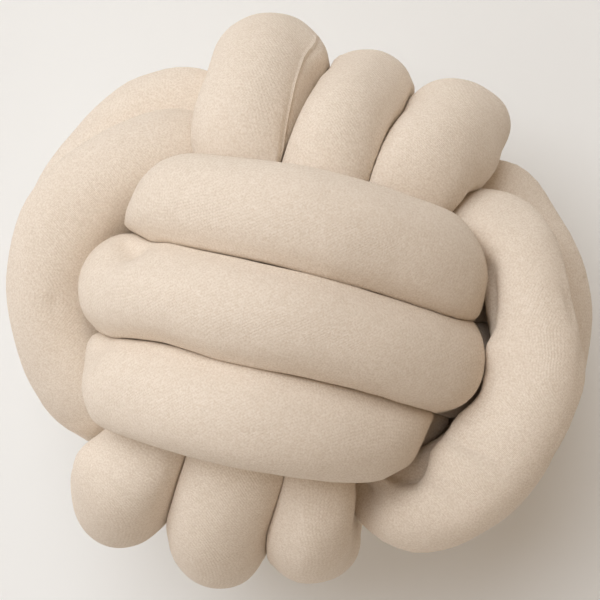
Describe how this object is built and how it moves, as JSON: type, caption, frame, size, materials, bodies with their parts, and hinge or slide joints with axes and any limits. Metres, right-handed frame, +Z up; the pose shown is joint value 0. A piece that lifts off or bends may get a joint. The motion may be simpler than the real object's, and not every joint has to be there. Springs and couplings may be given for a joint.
{
  "type": "knot cushion",
  "caption": "Round decorative cushion: a stuffed jersey tube tied into a monkey's fist knot of interlaced turns, resting on its back.",
  "frame": {"origin": "on the surface the cushion lies on, under the middle of its box", "axes": "+Z up, out of the cushion's face; +X to the right of the face; +Y towards the top of the face"},
  "size_m": [0.3, 0.2952, 0.2848],
  "materials": {
    "brushed_jersey": "matte brushed cotton jersey, fine knit, warm cream"
  },
  "bodies": {
    "root": {"knot_tube": "brushed_jersey"}
  },
  "joints": []
}
